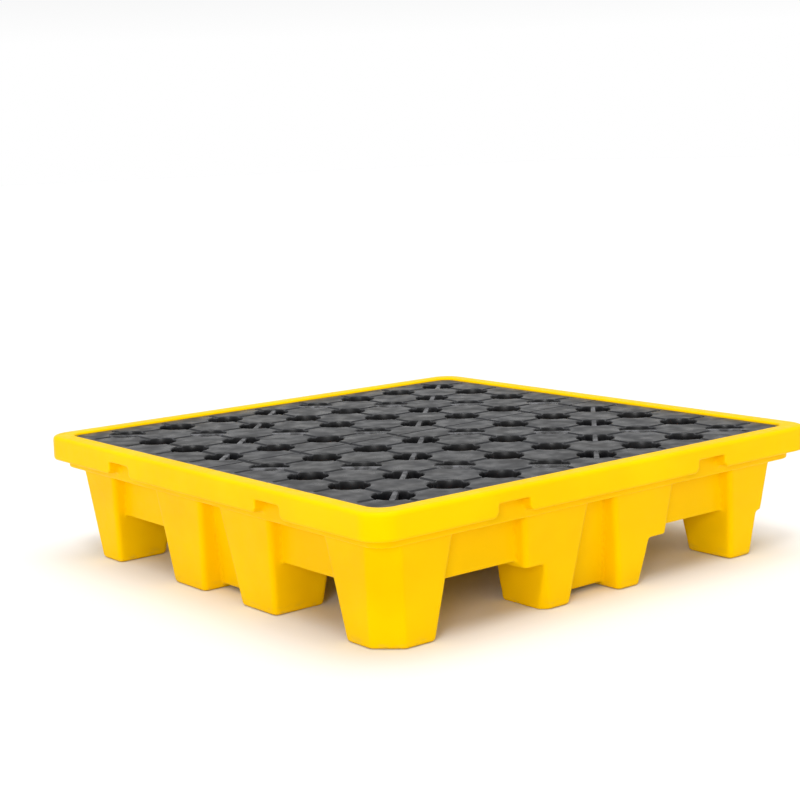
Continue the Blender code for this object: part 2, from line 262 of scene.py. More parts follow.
def edges_at(shape, level):
    def is_level(edge):
        return all(abs(vertex.co.z - level) < LEVEL_TOLERANCE for vertex in edge.verts)

    return list(filter(is_level, shape.edges))


def outwardness(edge, sign_x, sign_y):
    middle = (edge.verts[0].co + edge.verts[1].co) / 2
    return sign_x * middle.x + sign_y * middle.y


def turn_about_z(shape, start, angle):
    shape.verts.ensure_lookup_table()
    turn = Matrix.Rotation(angle, 3, "Z")
    bmesh.ops.rotate(shape, verts=shape.verts[start:], cent=(0, 0, 0), matrix=turn)


def tapered_block(
    target, low, high, z_low, z_high, radius=0.0, segments=8, corners=(), bottom=0.0, top=0.0
):
    """Adds a box with rectangle low at z_low and rectangle high at z_high, with rounded edges.

    Each item of corners cuts one upright edge: the signs of X and Y where it is, the size and the segments.
    """
    shape = bmesh.new()
    bmesh.ops.create_cube(shape, size=2.0)
    for vertex in shape.verts:
        x0, y0, x1, y1 = low if vertex.co.z < 0 else high
        level = z_low if vertex.co.z < 0 else z_high
        vertex.co = (x0 if vertex.co.x < 0 else x1, y0 if vertex.co.y < 0 else y1, level)
    for sign_x, sign_y, size, count in corners:
        upright = filter(is_upright, shape.edges)
        edges = sorted(upright, key=lambda e: outwardness(e, sign_x, sign_y))
        round_edges(shape, edges[-1:], size, count)
    if radius:
        square = [e for e in shape.edges if is_upright(e) and e.calc_face_angle() > SQUARE_ANGLE]
        round_edges(shape, square, radius, segments)
    if bottom:
        round_edges(shape, edges_at(shape, z_low), bottom, 4)
    if top:
        round_edges(shape, edges_at(shape, z_high), top, 5)
    piece = bpy.data.meshes.new("block")
    shape.to_mesh(piece)
    shape.free()
    target.from_mesh(piece)
    bpy.data.meshes.remove(piece)


def one_block(low, high, z_low, z_high, radius=0.0, segments=14, **options):
    shape = bmesh.new()
    tapered_block(shape, low, high, z_low, z_high, radius, segments, **options)
    return shape


def smoothstep(low, high, value):
    t = np.clip((value - low) / (high - low), 0.0, 1.0)
    return t * t * (3.0 - 2.0 * t)


# ---------------------------------------------------------------- sump tub
def at_height(pair, z):
    """A size at height z, from its values at LEDGE_Z and on the floor."""
    top, floor = pair
    return floor + (top - floor) * z / LEDGE_Z


def foot_span(index, z, inset):
    """Where a foot begins and ends along one axis at height z; inset makes it smaller all round."""
    tops, floors = FOOT_SPANS[abs(index)]
    near = at_height((tops[0], floors[0]), z) + inset
    far = at_height((tops[1], floors[1]), z) - inset
    return (near, far) if index > 0 else (-far, -near)


def foot_rectangle(index_x, index_y, z, inset):
    x0, x1 = foot_span(index_x, z, inset)
    y0, y1 = foot_span(index_y, z, inset)
    return (x0, y0, x1, y1)


def feet(inset, z_low, z_high):
    """All sixteen feet, or with an inset the wells inside them."""
    shape = bmesh.new()
    bottom = FOOT_BOTTOM_ROUND - inset / 2
    for index_x in (-2, -1, 1, 2):
        for index_y in (-2, -1, 1, 2):
            low = foot_rectangle(index_x, index_y, z_low, inset)
            high = foot_rectangle(index_x, index_y, z_high, inset)
            is_corner = abs(index_x * index_y) == 4
            corners = [(index_x, index_y, FOOT_CORNER_CUT - inset / 2, 1)] if is_corner else []
            radius = FOOT_EDGE_ROUND - inset
            tapered_block(shape, low, high, z_low, z_high, radius, corners=corners, bottom=bottom)
    return shape


def recess_face(z):
    """How far out the slanting face between the two middle feet of a side lies."""
    return at_height((RECESS_FACE_TOP, RECESS_FACE_FLOOR), z)


def recess_fronts(inset, z_low, z_high):
    """What is cut away outside the slanting faces, one on each side of the pallet."""
    shape = bmesh.new()
    for turn in range(4):
        corners = []
        for z in (z_low, z_high):
            half_width = foot_span(1, z, inset + OVERLAP)[0]
            corners.append((recess_face(z) - inset, -half_width, HALF, half_width))
        start = len(shape.verts)
        tapered_block(shape, corners[0], corners[1], z_low, z_high)
        turn_about_z(shape, start, turn * math.pi / 2)
    return shape


def web_rectangles(z, inset):
    """Outlines of the five webs: between the four inner feet, and between the middle feet of each side."""
    near = foot_span(2, z, WEB_RECESS + inset)[0]
    far = recess_face(z) - inset
    centre = foot_span(1, z, WEB_RECESS + inset)[1]
    length = WEB_HALF_LENGTH
    return [
        centred(centre),
        (-length, near, length, far),
        (-length, -far, length, -near),
        (near, -length, far, length),
        (-far, -length, -near, length),
    ]


def webs(inset, z_low, z_high):
    """The webs, or with an inset the wells inside them."""
    shape = bmesh.new()
    for low, high in zip(web_rectangles(z_low, inset), web_rectangles(z_high, inset)):
        tapered_block(shape, low, high, z_low, z_high)
    return shape


def step_cuts(inset):
    """Cutters for the steps: in the middle feet at the front and rear, and in the corner feet at +X."""
    shape = bmesh.new()
    for sign_x in (-1, 1):
        for sign_y in (-1, 1):
            corners = []
            for near in (STEP_FAR_BOTTOM - inset, STEP_FAR_TOP - inset):
                xs = sorted((sign_x * near, sign_x * (FOOT_SPANS[1][0][1] + 4 * MARGIN)))
                ys = sorted((sign_y * (FOOT_SPANS[2][0][0] - MARGIN), sign_y * LEDGE_HALF))
                corners.append((xs[0], ys[0], xs[1], ys[1]))
            tapered_block(shape, corners[0], corners[1], -MARGIN, STEP_Z + inset)
    for sign_y in (-1, 1):
        start = len(shape.verts)
        width = 2 * FOOT_CORNER_CUT
        low = (CORNER_STEP_BOTTOM - inset, -width, 2 * HALF, width)
        high = (CORNER_STEP_TOP - inset, -width, 2 * HALF, width)
        tapered_block(shape, low, high, -MARGIN, STEP_Z + inset)
        turn_about_z(shape, start, sign_y * math.pi / 4)
    return shape


def step_facets(inset):
    """The corner that the step leaves on a middle foot: cut back at the floor, whole at the step."""
    shape = bmesh.new()
    foot_floor = FOOT_SPANS[2][1][1]
    floor_corner = (STEP_FAR_BOTTOM + foot_floor - STEP_FACET) / math.sqrt(2)
    step_corner = (STEP_FAR_TOP + foot_span(2, STEP_Z, 0.0)[1]) / math.sqrt(2)
    below_corner = floor_corner - (step_corner - floor_corner) * MARGIN / STEP_Z
    for sign_x in (-1, 1):
        for sign_y in (-1, 1):
            start = len(shape.verts)
            middle = sign_x * sign_y * (foot_floor - STEP_FAR_BOTTOM) / math.sqrt(2)
            low = (below_corner - inset, middle - STEP_FACET, HALF, middle + STEP_FACET)
            high = (step_corner - inset, middle - STEP_FACET, HALF, middle + STEP_FACET)
            tapered_block(shape, low, high, -MARGIN, STEP_Z)
            turn_about_z(shape, start, math.atan2(sign_y, sign_x))
    return shape


def notches(flare):
    """The openings in the lower edge of the skirt, or with flare what rounds off their lower corners."""
    shape = bmesh.new()
    deep = LEDGE_HALF - MARGIN
    proud = HALF + MARGIN
    z_low = SKIRT_Z - MARGIN
    z_high = SKIRT_Z + (flare if flare else NOTCH_HEIGHT)
    spread = flare * (MARGIN + flare) / NOTCH_FLARE if flare else 0.0
    for turn in range(4):
        for sign in (-1, 1):
            start = len(shape.verts)
            near, far = sorted((sign * NOTCH_NEAR, sign * NOTCH_FAR))
            low = (deep, near - spread, proud, far + spread)
            tapered_block(shape, low, (deep, near, proud, far), z_low, z_high)
            turn_about_z(shape, start, turn * math.pi / 2)
    return shape


def studs():
    """Short round bosses on the sump floor, one under each post."""
    shape = bmesh.new()
    for x in (-POST_X, 0.0, POST_X):
        for y in (-PANEL_MIDDLE_Y, 0.0, PANEL_MIDDLE_Y):
            floor = WEB_Z + WALL if x == 0.0 and y == 0.0 else FLOOR_Z
            bottom = floor - WALL / 2
            height = floor + STUD_HEIGHT - bottom
            made = bmesh.ops.create_cone(
                shape,
                cap_ends=True,
                segments=POST_SIDES,
                radius1=STUD_RADIUS,
                radius2=STUD_RADIUS - STUD_TAPER,
                depth=height,
            )
            bmesh.ops.translate(shape, verts=made["verts"], vec=(x, y, bottom + height / 2))
    return shape


def combine(item, operation, name, shape):
    """Adds a Boolean modifier, and returns the object that it uses."""
    other = link_object(name, mesh_from(name, shape))
    modifier = item.modifiers.new(name, "BOOLEAN")
    modifier.operation = operation
    modifier.solver = "MANIFOLD"
    modifier.object = other
    return other


def build_tub(material):
    """The whole tub with sharp edges; walls, sump and wells are themselves cut before the tub uses them."""
    outline = centred(HALF)
    rounding = {"segments": 20, "top": RIM_EDGE_ROUND, "bottom": SKIRT_EDGE_ROUND}
    rim = one_block(outline, outline, SKIRT_Z, HEIGHT, RIM_RADIUS, **rounding)
    tub = link_object("sump_tub_shell", mesh_from("sump_tub_shell", rim), material)
    ledge = centred(LEDGE_HALF)
    behind = centred(LEDGE_HALF - WALL)
    seat = centred(SEAT_HALF)
    wall_low = HALF - WALL_INSET_BOTTOM
    wall_high = HALF - WALL_INSET_TOP
    walls = (centred(wall_low), centred(wall_high))
    sump = (centred(wall_low - WALL), centred(wall_high - WALL))
    inner_radius = LEDGE_RADIUS - WALL
    steps = [
        ("DIFFERENCE", "notches", notches(0.0)),
        ("DIFFERENCE", "notch_flares", notches(NOTCH_FLARE)),
        ("UNION", "ledge", one_block(ledge, ledge, LEDGE_Z, HEIGHT - MARGIN, LEDGE_RADIUS)),
        ("UNION", "walls", one_block(*walls, CHANNEL_Z, LEDGE_Z + MARGIN, LEDGE_RADIUS)),
        ("UNION", "feet", feet(0.0, 0.0, FOOT_TOP_Z)),
        ("UNION", "webs", webs(0.0, WEB_Z, FOOT_TOP_Z)),
        ("DIFFERENCE", "steps", step_cuts(0.0)),
        ("DIFFERENCE", "step_facets", step_facets(0.0)),
        ("DIFFERENCE", "seat", one_block(seat, seat, SEAT_Z, HEIGHT + MARGIN, SEAT_RADIUS)),
        ("DIFFERENCE", "sump", one_block(*sump, FLOOR_Z, SEAT_Z + MARGIN, inner_radius)),
        ("DIFFERENCE", "hollow", one_block(behind, behind, LEDGE_Z + WALL, SEAT_Z - WALL, inner_radius)),
        ("DIFFERENCE", "wells", feet(WALL, WALL, WELL_TOP_Z)),
        ("DIFFERENCE", "web_wells", webs(WALL, WEB_Z + WALL, WELL_TOP_Z)),
        ("UNION", "studs", studs()),
    ]
    made = {}
    for operation, name, shape in steps:
        made[name] = combine(tub, operation, name, shape)
    guides = [
        combine(made["walls"], "DIFFERENCE", "recess_fronts", recess_fronts(0.0, 0.0, LEDGE_Z + OVERLAP)),
        combine(made["sump"], "DIFFERENCE", "recess_walls", recess_fronts(WALL, 0.0, LEDGE_Z + WALL)),
        combine(made["wells"], "DIFFERENCE", "well_steps", step_cuts(WALL)),
        combine(made["wells"], "DIFFERENCE", "well_facets", step_facets(WALL)),
    ]
    bake_modifiers(tub)
    for other in list(made.values()) + guides:
        remove_object(other)
    return tub


def relax(item, rounds, group=""):
    """Smooths the mesh, all over or as far as the vertex group says."""
    smooth = item.modifiers.new("smooth", "SMOOTH")
    smooth.factor = RELAX_FACTOR
    smooth.iterations = rounds
    smooth.vertex_group = group


def weigh_outside_below_ledge(item):
    """A vertex group of the tub's outside below the ledge, which fades out at the ledge."""
    count = len(item.data.vertices)
    points = np.empty(3 * count, np.float32)
    item.data.vertices.foreach_get("co", points)
    points = points.reshape(-1, 3)
    low = 1.0 - smoothstep(LEDGE_Z - FADE_BELOW_LEDGE, LEDGE_Z + FADE_ABOVE_LEDGE, points[:, 2])
    within = np.abs(points[:, :2]).max(axis=1) < HALF - WALL_INSET_BOTTOM - WALL
    inside = within & (points[:, 2] > CHANNEL_Z + 0.002)
    group = item.vertex_groups.new(name="outside_below_ledge")
    chosen = np.flatnonzero((low > 0.0) & ~inside)
    half_step = 0.5 / WEIGHT_STEPS + 0.00001
    for weight in np.linspace(1.0 / WEIGHT_STEPS, 1.0, WEIGHT_STEPS):
        near = chosen[np.abs(low[chosen] - weight) <= half_step]
        group.add(near.tolist(), float(weight), "REPLACE")
    return group


def soften(item):
    """Moulded look: an even remesh, its edges relaxed to soft fillets, and fewer faces where it is flat.

    The outside below the ledge is relaxed more, because the feet and pockets have the largest fillets.
    """
    remesh = item.modifiers.new("remesh", "REMESH")
    remesh.mode = "VOXEL"
    remesh.voxel_size = VOXEL
    remesh.adaptivity = 0.0
    bake_modifiers(item)
    group = weigh_outside_below_ledge(item)
    relax(item, EDGE_ROUNDS)
    relax(item, FOOT_ROUNDS, group.name)
    bake_modifiers(item)
    decimate = item.modifiers.new("decimate", "DECIMATE")
    decimate.ratio = min(1.0, TUB_TRIANGLES / (2 * len(item.data.polygons)))
    bake_modifiers(item)
    item.vertex_groups.clear()
    item.data.shade_smooth()


# ---------------------------------------------------------------- grating panels
def side_offsets(low, high):
    """Places along one side of a cell, closer together beside the channel in its middle."""
    down = [-s for s in reversed(SIDE_STEPS) if s < -low - STEP_ROOM]
    up = [s for s in SIDE_STEPS if s < high - STEP_ROOM]
    return np.array([low] + down + [0.0] + up + [high])


def circle_points(offsets, low, high, radius):
    """Points on a circle, abreast of the places near a side's middle, then fanned out to 45 degrees."""
    reach = np.where(offsets > 0, high, -low)
    size = np.abs(offsets)
    first = np.arcsin(STRAIGHT_STEP / radius)
    share = np.clip((size - STRAIGHT_STEP) / (reach - STRAIGHT_STEP), 0.0, 1.0)
    fanned = first + (math.pi / 4 - first) * share
    abreast = np.arcsin(np.minimum(size, STRAIGHT_STEP) / radius)
    angle = np.sign(offsets) * np.where(size <= STRAIGHT_STEP, abreast, fanned)
    return np.stack([radius * np.cos(angle), radius * np.sin(angle)], 1)


def cell_ring(reach, radius=None, share=None):
    """One closed ring of a cell: on a circle, or part of the way from the lip circle to the cell's edge."""
    right, up, left, down = reach
    sides = [(right, -down, up), (up, -right, left), (left, -up, down), (down, -left, right)]
    ring = []
    for turn, (out, low, high) in enumerate(sides):
        offsets = side_offsets(low, high)
        if share is None:
            points = circle_points(offsets, low, high, radius)
        else:
            edge = np.stack([np.full(len(offsets), out), offsets], 1)
            inner = circle_points(offsets, low, high, LIP_RADIUS)
            points = inner + (edge - inner) * share
        cos, sin = round(math.cos(turn * math.pi / 2)), round(math.sin(turn * math.pi / 2))
        points = points @ np.array([[cos, sin], [-sin, cos]], float)
        ring.append(points[:-1])
    return np.concatenate(ring)


def one_channel(sideways, lengthways):
    """1 in a channel and 0 beside it, from the distance to its middle line and the distance along it."""
    inner, outer = CHANNEL_HALF - CHANNEL_SOFTNESS, CHANNEL_HALF + CHANNEL_SOFTNESS
    width = 1.0 - smoothstep(inner, outer, np.abs(sideways))
    near, far = PIT_PLACE - CHANNEL_RUN_IN, PIT_PLACE + CHANNEL_RUN_OUT
    return width * (1.0 - smoothstep(near, far, np.abs(lengthways)))


def channel_depth(x, y, centre_x, centre_y):
    """How far the top lies below the deck level: the shallow channels through the middles of the holes."""
    return CHANNEL_DEPTH * np.maximum(one_channel(y - centre_y, x), one_channel(x - centre_x, y))


def pit_depth(x, y):
    """The small pits at the ends of the channels."""
    depth = np.zeros_like(x)
    for column in HOLE_X:
        distance = np.hypot(x - column, y - PIT_PLACE)
        depth = np.maximum(depth, 1.0 - smoothstep(PIT_FLOOR_RADIUS, PIT_RADIUS, distance))
    for row in HOLE_Y:
        distance = np.hypot(np.abs(x) - PIT_PLACE, y - row)
        depth = np.maximum(depth, 1.0 - smoothstep(PIT_FLOOR_RADIUS, PIT_RADIUS, distance))
    return PIT_DEPTH * depth


def nearest(values, coordinate):
    """The value nearest to each coordinate."""
    values = np.asarray(values)
    return values[np.argmin(np.abs(coordinate[..., None] - values), axis=-1)]


def deck_height(x, y, edge_distance=None):
    """Height of the deck's top, rounded off at the panel's edge where the distance to it is given."""
    depth = channel_depth(x, y, nearest(HOLE_X, x), nearest(HOLE_Y, y))
    depth = np.maximum(depth, pit_depth(x, y))
    if edge_distance is not None:
        short = np.clip(PANEL_EDGE_ROUND - edge_distance, 0.0, PANEL_EDGE_ROUND)
        drop = PANEL_EDGE_ROUND - np.sqrt(PANEL_EDGE_ROUND**2 - short**2)
        depth = depth + drop
    return PANEL_TOP_Z - depth


def move_inwards(points, distance):
    """Moves points of the outline inwards, and what lies near them in proportion."""
    moved = points.copy()
    for axis in (0, 1):
        size = np.abs(moved[..., axis])
        scaled = CORNER_CENTRE + (size - CORNER_CENTRE) * (CORNER_RADIUS - distance) / CORNER_RADIUS
        signed = np.sign(moved[..., axis]) * scaled
        moved[..., axis] = np.where(size > CORNER_CENTRE, signed, moved[..., axis])
    seam = CELL_SEAM_Y - SEAM_HALF_GAP
    low = moved[..., 1] < CELL_SEAM_Y
    scaled = CELL_SEAM_Y - (CELL_SEAM_Y - moved[..., 1]) * (seam - distance) / seam
    moved[..., 1] = np.where(low, scaled, moved[..., 1])
    return moved


def with_height(points, height):
    height = np.broadcast_to(height, points.shape[:-1])
    return np.concatenate([points, height[..., None]], -1)


def grid_quads(grid, closed=False):
    """Corner coordinates of the quads of a grid of points."""
    if closed:
        grid = np.concatenate([grid, grid[:, :1]], 1)
    quads = np.stack([grid[:-1, :-1], grid[:-1, 1:], grid[1:, 1:], grid[1:, :-1]], 2)
    return quads.reshape(-1, 4, grid.shape[-1])


def weld(name, quads):
    """A mesh from loose quads: corners within a micrometre become one vertex, and collapsed faces go."""
    corners = np.round(quads.reshape(-1, 3) * 1e6).astype(np.int64)
    unique, index = np.unique(corners, axis=0, return_inverse=True)
    faces = []
    for face in index.reshape(-1, 4):
        face = [int(v) for i, v in enumerate(face) if v != face[i - 1]]
        if len(face) >= 3:
            faces.append(face)
    mesh = bpy.data.meshes.new(name)
    mesh.from_pydata((unique / 1e6).tolist(), [], faces)
    shape = bmesh.new()
    shape.from_mesh(mesh)
    bmesh.ops.recalc_face_normals(shape, faces=shape.faces)
    shape.to_mesh(mesh)
    shape.free()
    return mesh


def round_rings(reach, profile):
    """A ring and its depth for each point of a profile round the hole."""
    return [(cell_ring(reach, radius=HOLE_RADIUS + out), drop) for out, drop in profile]


def deck_cells():
    """The plate round each hole: its top, the rounded lip, the collar under the hole and the underside."""
    quads = []
    for row, centre_y in enumerate(HOLE_Y):
        down = centre_y - CELL_SEAM_Y if row == 0 else HOLE_PITCH / 2
        up = CORNER_CENTRE - centre_y if row == HOLE_ROWS - 1 else HOLE_PITCH / 2
        reach = (HOLE_PITCH / 2, up, HOLE_PITCH / 2, down)
        flat = [(cell_ring(reach, share=share), 0.0) for share in RING_SHARES]
        lip = round_rings(reach, LIP_PROFILE)
        collar = round_rings(reach, COLLAR_PROFILE)
        for centre_x in HOLE_X:
            centre = np.array([centre_x, centre_y])
            rings = []
            for ring, drop in flat + lip:
                points = ring + centre
                rings.append(with_height(points, deck_height(points[:, 0], points[:, 1]) - drop))
            for ring, drop in collar:
                rings.append(with_height(ring + centre, PANEL_TOP_Z - drop))
            rings.append(with_height(flat[0][0] + centre, DECK_UNDERSIDE))
            quads.append(grid_quads(np.array(rings), closed=True))
    return quads


def cell_places():
    """The X and Y places where the cells' edges have points, along a row and along a column."""
    along_x = [side_offsets(-HOLE_PITCH / 2, HOLE_PITCH / 2)[:-1] + centre for centre in HOLE_X]
    along_y = []
    for row, centre in enumerate(HOLE_Y):
        low = CELL_SEAM_Y - centre if row == 0 else -HOLE_PITCH / 2
        high = CORNER_CENTRE - centre if row == HOLE_ROWS - 1 else HOLE_PITCH / 2
        along_y.append(side_offsets(low, high)[:-1] + centre)
    cell_x = np.append(np.concatenate(along_x), HOLE_X[-1] + HOLE_PITCH / 2)
    cell_y = np.append(np.concatenate(along_y), CORNER_CENTRE)
    return cell_x, cell_y


def border_grids():
    """The four border strips round the cells, as grids of points, and the panel's outline."""
    cell_x, cell_y = cell_places()
    arc_y = CORNER_CENTRE + CORNER_RADIUS * np.sin(np.linspace(0, math.pi / 2, ARC_STEPS + 1))
    seam_y = SEAM_HALF_GAP + np.array(EDGE_STEPS + (0.006, 0.011))
    far_y = PANEL_FAR - np.array(EDGE_STEPS + (0.008,))
    pit_y = PIT_PLACE + np.array(PIT_STEPS)
    outer_y = np.unique(np.round(np.concatenate([[CORNER_CENTRE], pit_y, far_y]), 7))
    rows = np.unique(np.round(np.concatenate([seam_y, cell_y, arc_y, outer_y]), 7))
    start = HOLE_X[-1] + HOLE_PITCH / 2
    over = np.clip(rows - CORNER_CENTRE, 0.0, CORNER_RADIUS)
    reach = CORNER_CENTRE + np.sqrt(CORNER_RADIUS**2 - over**2)
    pit_share = (pit_y - start) / (PANEL_FAR - start)
    edge_share = 1.0 - np.array(EDGE_STEPS + (0.006,)) / (PANEL_FAR - start)
    shares = np.unique(np.concatenate([[0.0], pit_share, edge_share]))
    x = start + (reach - start)[:, None] * shares[None, :]
    side = np.stack([x, np.broadcast_to(rows[:, None], x.shape)], -1)
    mirrored = side * np.array([-1.0, 1.0])
    seam_rows = rows[rows <= CELL_SEAM_Y + 1e-6]
    outer_rows = rows[rows >= CORNER_CENTRE - 1e-6]
    near = np.stack(np.meshgrid(cell_x, seam_rows), -1)
    far = np.stack(np.meshgrid(cell_x, outer_rows), -1)
    once_round = [
        near[0],
        side[0, 1:],
        side[1:, -1],
        side[-1, -2::-1],
        far[-1, -2::-1],
        mirrored[-1, 1:],
        mirrored[-2::-1, -1],
        mirrored[0, -2:0:-1],
    ]
    return [side, mirrored, near, far], np.concatenate(once_round)


def outline_distance(points):
    """Distance to the panel's outline, for points in its border."""
    x, y = np.abs(points[..., 0]), points[..., 1]
    past_x, past_y = np.maximum(x - CORNER_CENTRE, 0.0), np.maximum(y - CORNER_CENTRE, 0.0)
    in_corner = (past_x > 0) & (past_y > 0)
    to_arc = CORNER_RADIUS - np.hypot(past_x, past_y)
    to_sides = np.minimum(PANEL_FAR - x, PANEL_FAR - y)
    return np.maximum(0.0, np.minimum(np.where(in_corner, to_arc, to_sides), y - SEAM_HALF_GAP))


def bar_quads(length, half_width, z_low, z_high, angle, middle, round_top=BAR_EDGE_ROUND):
    """A straight bar with rounded top edges."""
    flat = half_width - round_top
    cut = 0.3 * round_top
    right = [
        (half_width, z_low),
        (half_width, z_high - round_top),
        (half_width - cut, z_high - cut),
        (flat, z_high),
    ]
    left = [(-across, z) for across, z in reversed(right)]
    section = np.array(left[-1:] + right + left[:-1])
    cos, sin = math.cos(angle), math.sin(angle)
    ends = []
    for along in (-length, length):
        x = middle[0] + along * cos - section[:, 0] * sin
        y = middle[1] + along * sin + section[:, 0] * cos
        ends.append(np.stack([x, y, section[:, 1]], 1))
    quads = [grid_quads(np.array(ends), closed=True)]
    for end in ends:
        quads.append(end[[0, 1, 2, 7]][None])
        quads.append(end[[7, 2, 3, 6]][None])
        quads.append(end[[6, 3, 4, 5]][None])
    return np.concatenate(quads)


def panel_bars():
    """Straight ribs midway between the holes, and diagonal braces, whose tops show in some of the holes."""
    bars = []
    half_width = RIB_THICKNESS / 2
    top = DECK_UNDERSIDE + RIB_OVERLAP
    length_x = PANEL_FAR - RIB_SETBACK
    for index in range(1, HOLE_ROWS):
        y = PANEL_MIDDLE_Y + HOLE_PITCH * (index - HOLE_ROWS / 2)
        bars.append(bar_quads(length_x, half_width, PANEL_BOTTOM_Z + 0.0005, top, 0.0, (0, y)))
    length_y = (PANEL_FAR - SEAM_HALF_GAP) / 2 - RIB_SETBACK
    for index in range(1, HOLE_COLUMNS):
        place = (HOLE_PITCH * (index - HOLE_COLUMNS / 2), PANEL_MIDDLE_Y)
        bars.append(bar_quads(length_y, half_width, PANEL_BOTTOM_Z + 0.001, top, math.pi / 2, place))
    length = HOLE_PITCH * HOLE_ROWS / 2 * math.sqrt(2) - RIB_THICKNESS
    for turn in (-1, 1):
        low = PANEL_BOTTOM_Z + 0.0015 + 0.0005 * turn
        high = PANEL_TOP_Z - BRACE_DROP - 0.0002 * turn
        for half in (-1, 1):
            place = (half * HOLE_PITCH * HOLE_COLUMNS / 4, PANEL_MIDDLE_Y)
            angle = turn * math.pi / 4
            bars.append(bar_quads(length, BRACE_HALF, low, high, angle, place, BRACE_EDGE_ROUND))
    return bars


def build_panel(name, side, material):
    """One grating, built for the rear half; side is -1 to mirror it to the front, and 1 at the rear."""
    strips, outline = border_grids()
    quads = deck_cells()
    for grid in strips:
        height = deck_height(grid[..., 0], grid[..., 1], outline_distance(grid))
        quads.append(grid_quads(with_height(grid, height)))
        quads.append(grid_quads(with_height(move_inwards(grid, FRAME_THICKNESS), DECK_UNDERSIDE)))
    levels = [
        (0.0, deck_height(outline[:, 0], outline[:, 1], np.zeros(len(outline)))),
        (0.0, PANEL_BOTTOM_Z + 0.0015),
        (0.0004, PANEL_BOTTOM_Z + 0.0004),
        (0.0015, PANEL_BOTTOM_Z),
        (FRAME_THICKNESS - 0.001, PANEL_BOTTOM_Z),
        (FRAME_THICKNESS, PANEL_BOTTOM_Z + 0.001),
        (FRAME_THICKNESS, DECK_UNDERSIDE),
    ]
    walls = [with_height(move_inwards(outline, distance), height) for distance, height in levels]
    quads.append(grid_quads(np.array(walls), closed=True))
    shell = weld(name, np.concatenate(quads))
    shape = bmesh.new()
    shape.from_mesh(shell)
    for quad in panel_bars():
        piece = weld("bar", quad)
        shape.from_mesh(piece)
        bpy.data.meshes.remove(piece)
    if side < 0:
        bmesh.ops.scale(shape, vec=(1.0, -1.0, 1.0), verts=shape.verts)
        bmesh.ops.reverse_faces(shape, faces=shape.faces)
    shape.to_mesh(shell)
    shape.free()
    shell.shade_smooth()
    shell.set_sharp_from_angle(angle=SMOOTH_ANGLE)
    return link_object(name, shell, material)


# ---------------------------------------------------------------- support posts
def post_profile(cap, top, bottom):
    """Outline of half a post's section, from the middle of its cap, down its outside and up its bore."""
    body = cap - POST_CAP_OVERHANG
    bore = body - POST_WALL
    under_cap = top - POST_CAP_THICKNESS
    return [
        (0.0, top),
        (cap - 0.003, top),
        (cap - 0.0009, top - 0.0009),
        (cap, top - 0.003),
        (cap, top - 0.0055),
        (cap - 0.0005, top - 0.0065),
        (body + 0.001, top - 0.0095),
        (body, top - 0.012),
        (body, bottom + 0.0015),
        (body - 0.0004, bottom + 0.0004),
        (body - 0.0015, bottom),
        (bore + 0.0005, bottom),
        (bore, bottom + 0.001),
        (bore, under_cap),
        (0.0, under_cap),
    ]


def build_post(name, node, material):
    low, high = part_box(node)
    x, y = (low.x + high.x) / 2, (low.y + high.y) / 2
    profile = post_profile((high.x - low.x) / 2, high.z, low.z)
    angles = np.linspace(0, 2 * math.pi, POST_SIDES + 1)[:-1]
    radii, heights = np.array(profile).T
    grid = np.zeros((len(profile), len(angles), 3))
    grid[..., 0] = x + radii[:, None] * np.cos(angles)
    grid[..., 1] = y + radii[:, None] * np.sin(angles)
    grid[..., 2] = heights[:, None]
    mesh = weld(name, grid_quads(grid, closed=True))
    mesh.shade_smooth()
    mesh.set_sharp_from_angle(angle=SMOOTH_ANGLE)
    return link_object(name, mesh, material)


# ---------------------------------------------------------------- materials
def set_range(node, low, high, to_low, to_high):
    """Sets what a Map Range node reads from and writes to."""
    for name, number in (("From Min", low), ("From Max", high), ("To Min", to_low), ("To Max", to_high)):
        node.inputs[name].default_value = number


